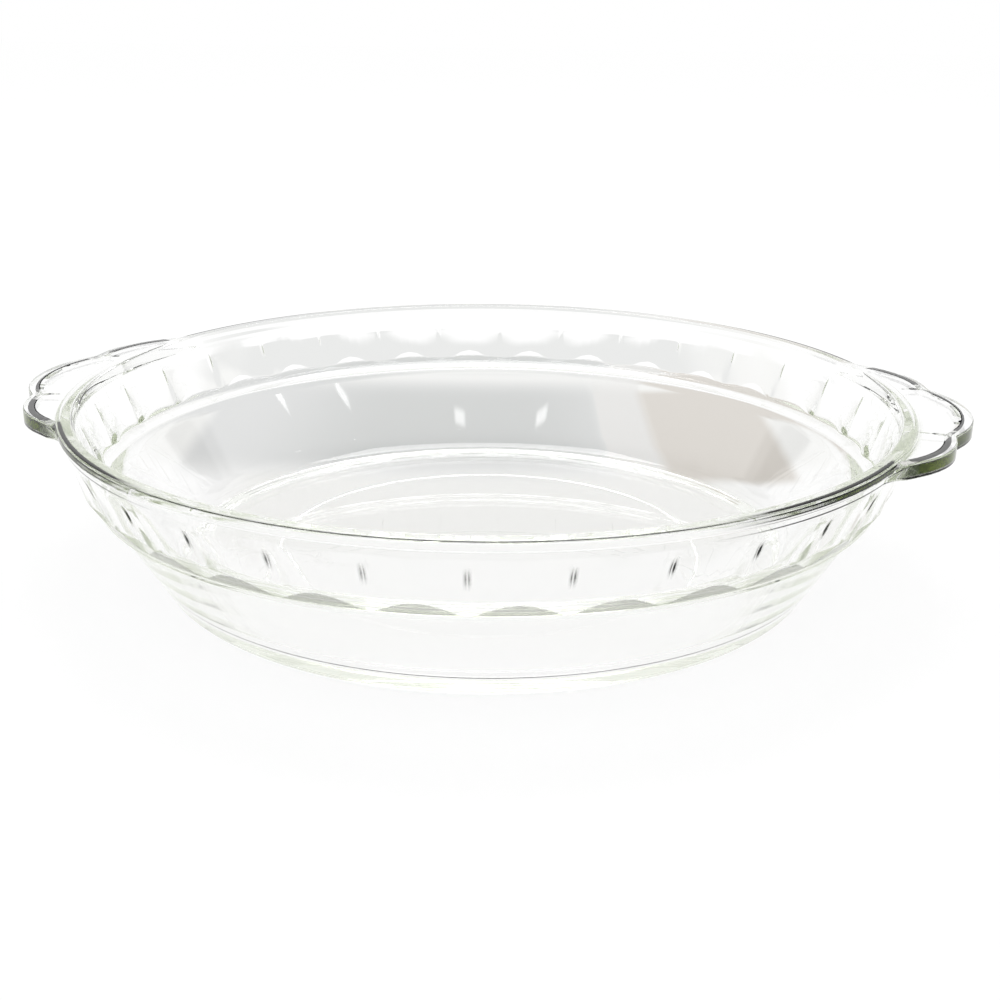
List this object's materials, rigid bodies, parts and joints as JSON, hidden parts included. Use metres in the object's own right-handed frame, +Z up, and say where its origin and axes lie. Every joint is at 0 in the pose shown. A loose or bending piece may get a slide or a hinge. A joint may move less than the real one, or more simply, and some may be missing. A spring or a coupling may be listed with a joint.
{
  "type": "pie dish",
  "caption": "Round deep pie dish of clear pressed glass with a fluted upper wall over a ledge, sloping lower wall, flat floor and two scalloped tab handles level with the rim.",
  "frame": {"origin": "middle of the bounding box on the plane the dish stands on, which is also the axis of the bowl", "axes": "+Z up out of the bowl, +X along the line through both handles, +Y across it"},
  "size_m": [0.2714, 0.24, 0.0504],
  "materials": {
    "clear_glass": "clear, fire-polished, with a faint olive tint where it is thick"
  },
  "bodies": {
    "root": {"pie_dish": "clear_glass"}
  },
  "joints": []
}
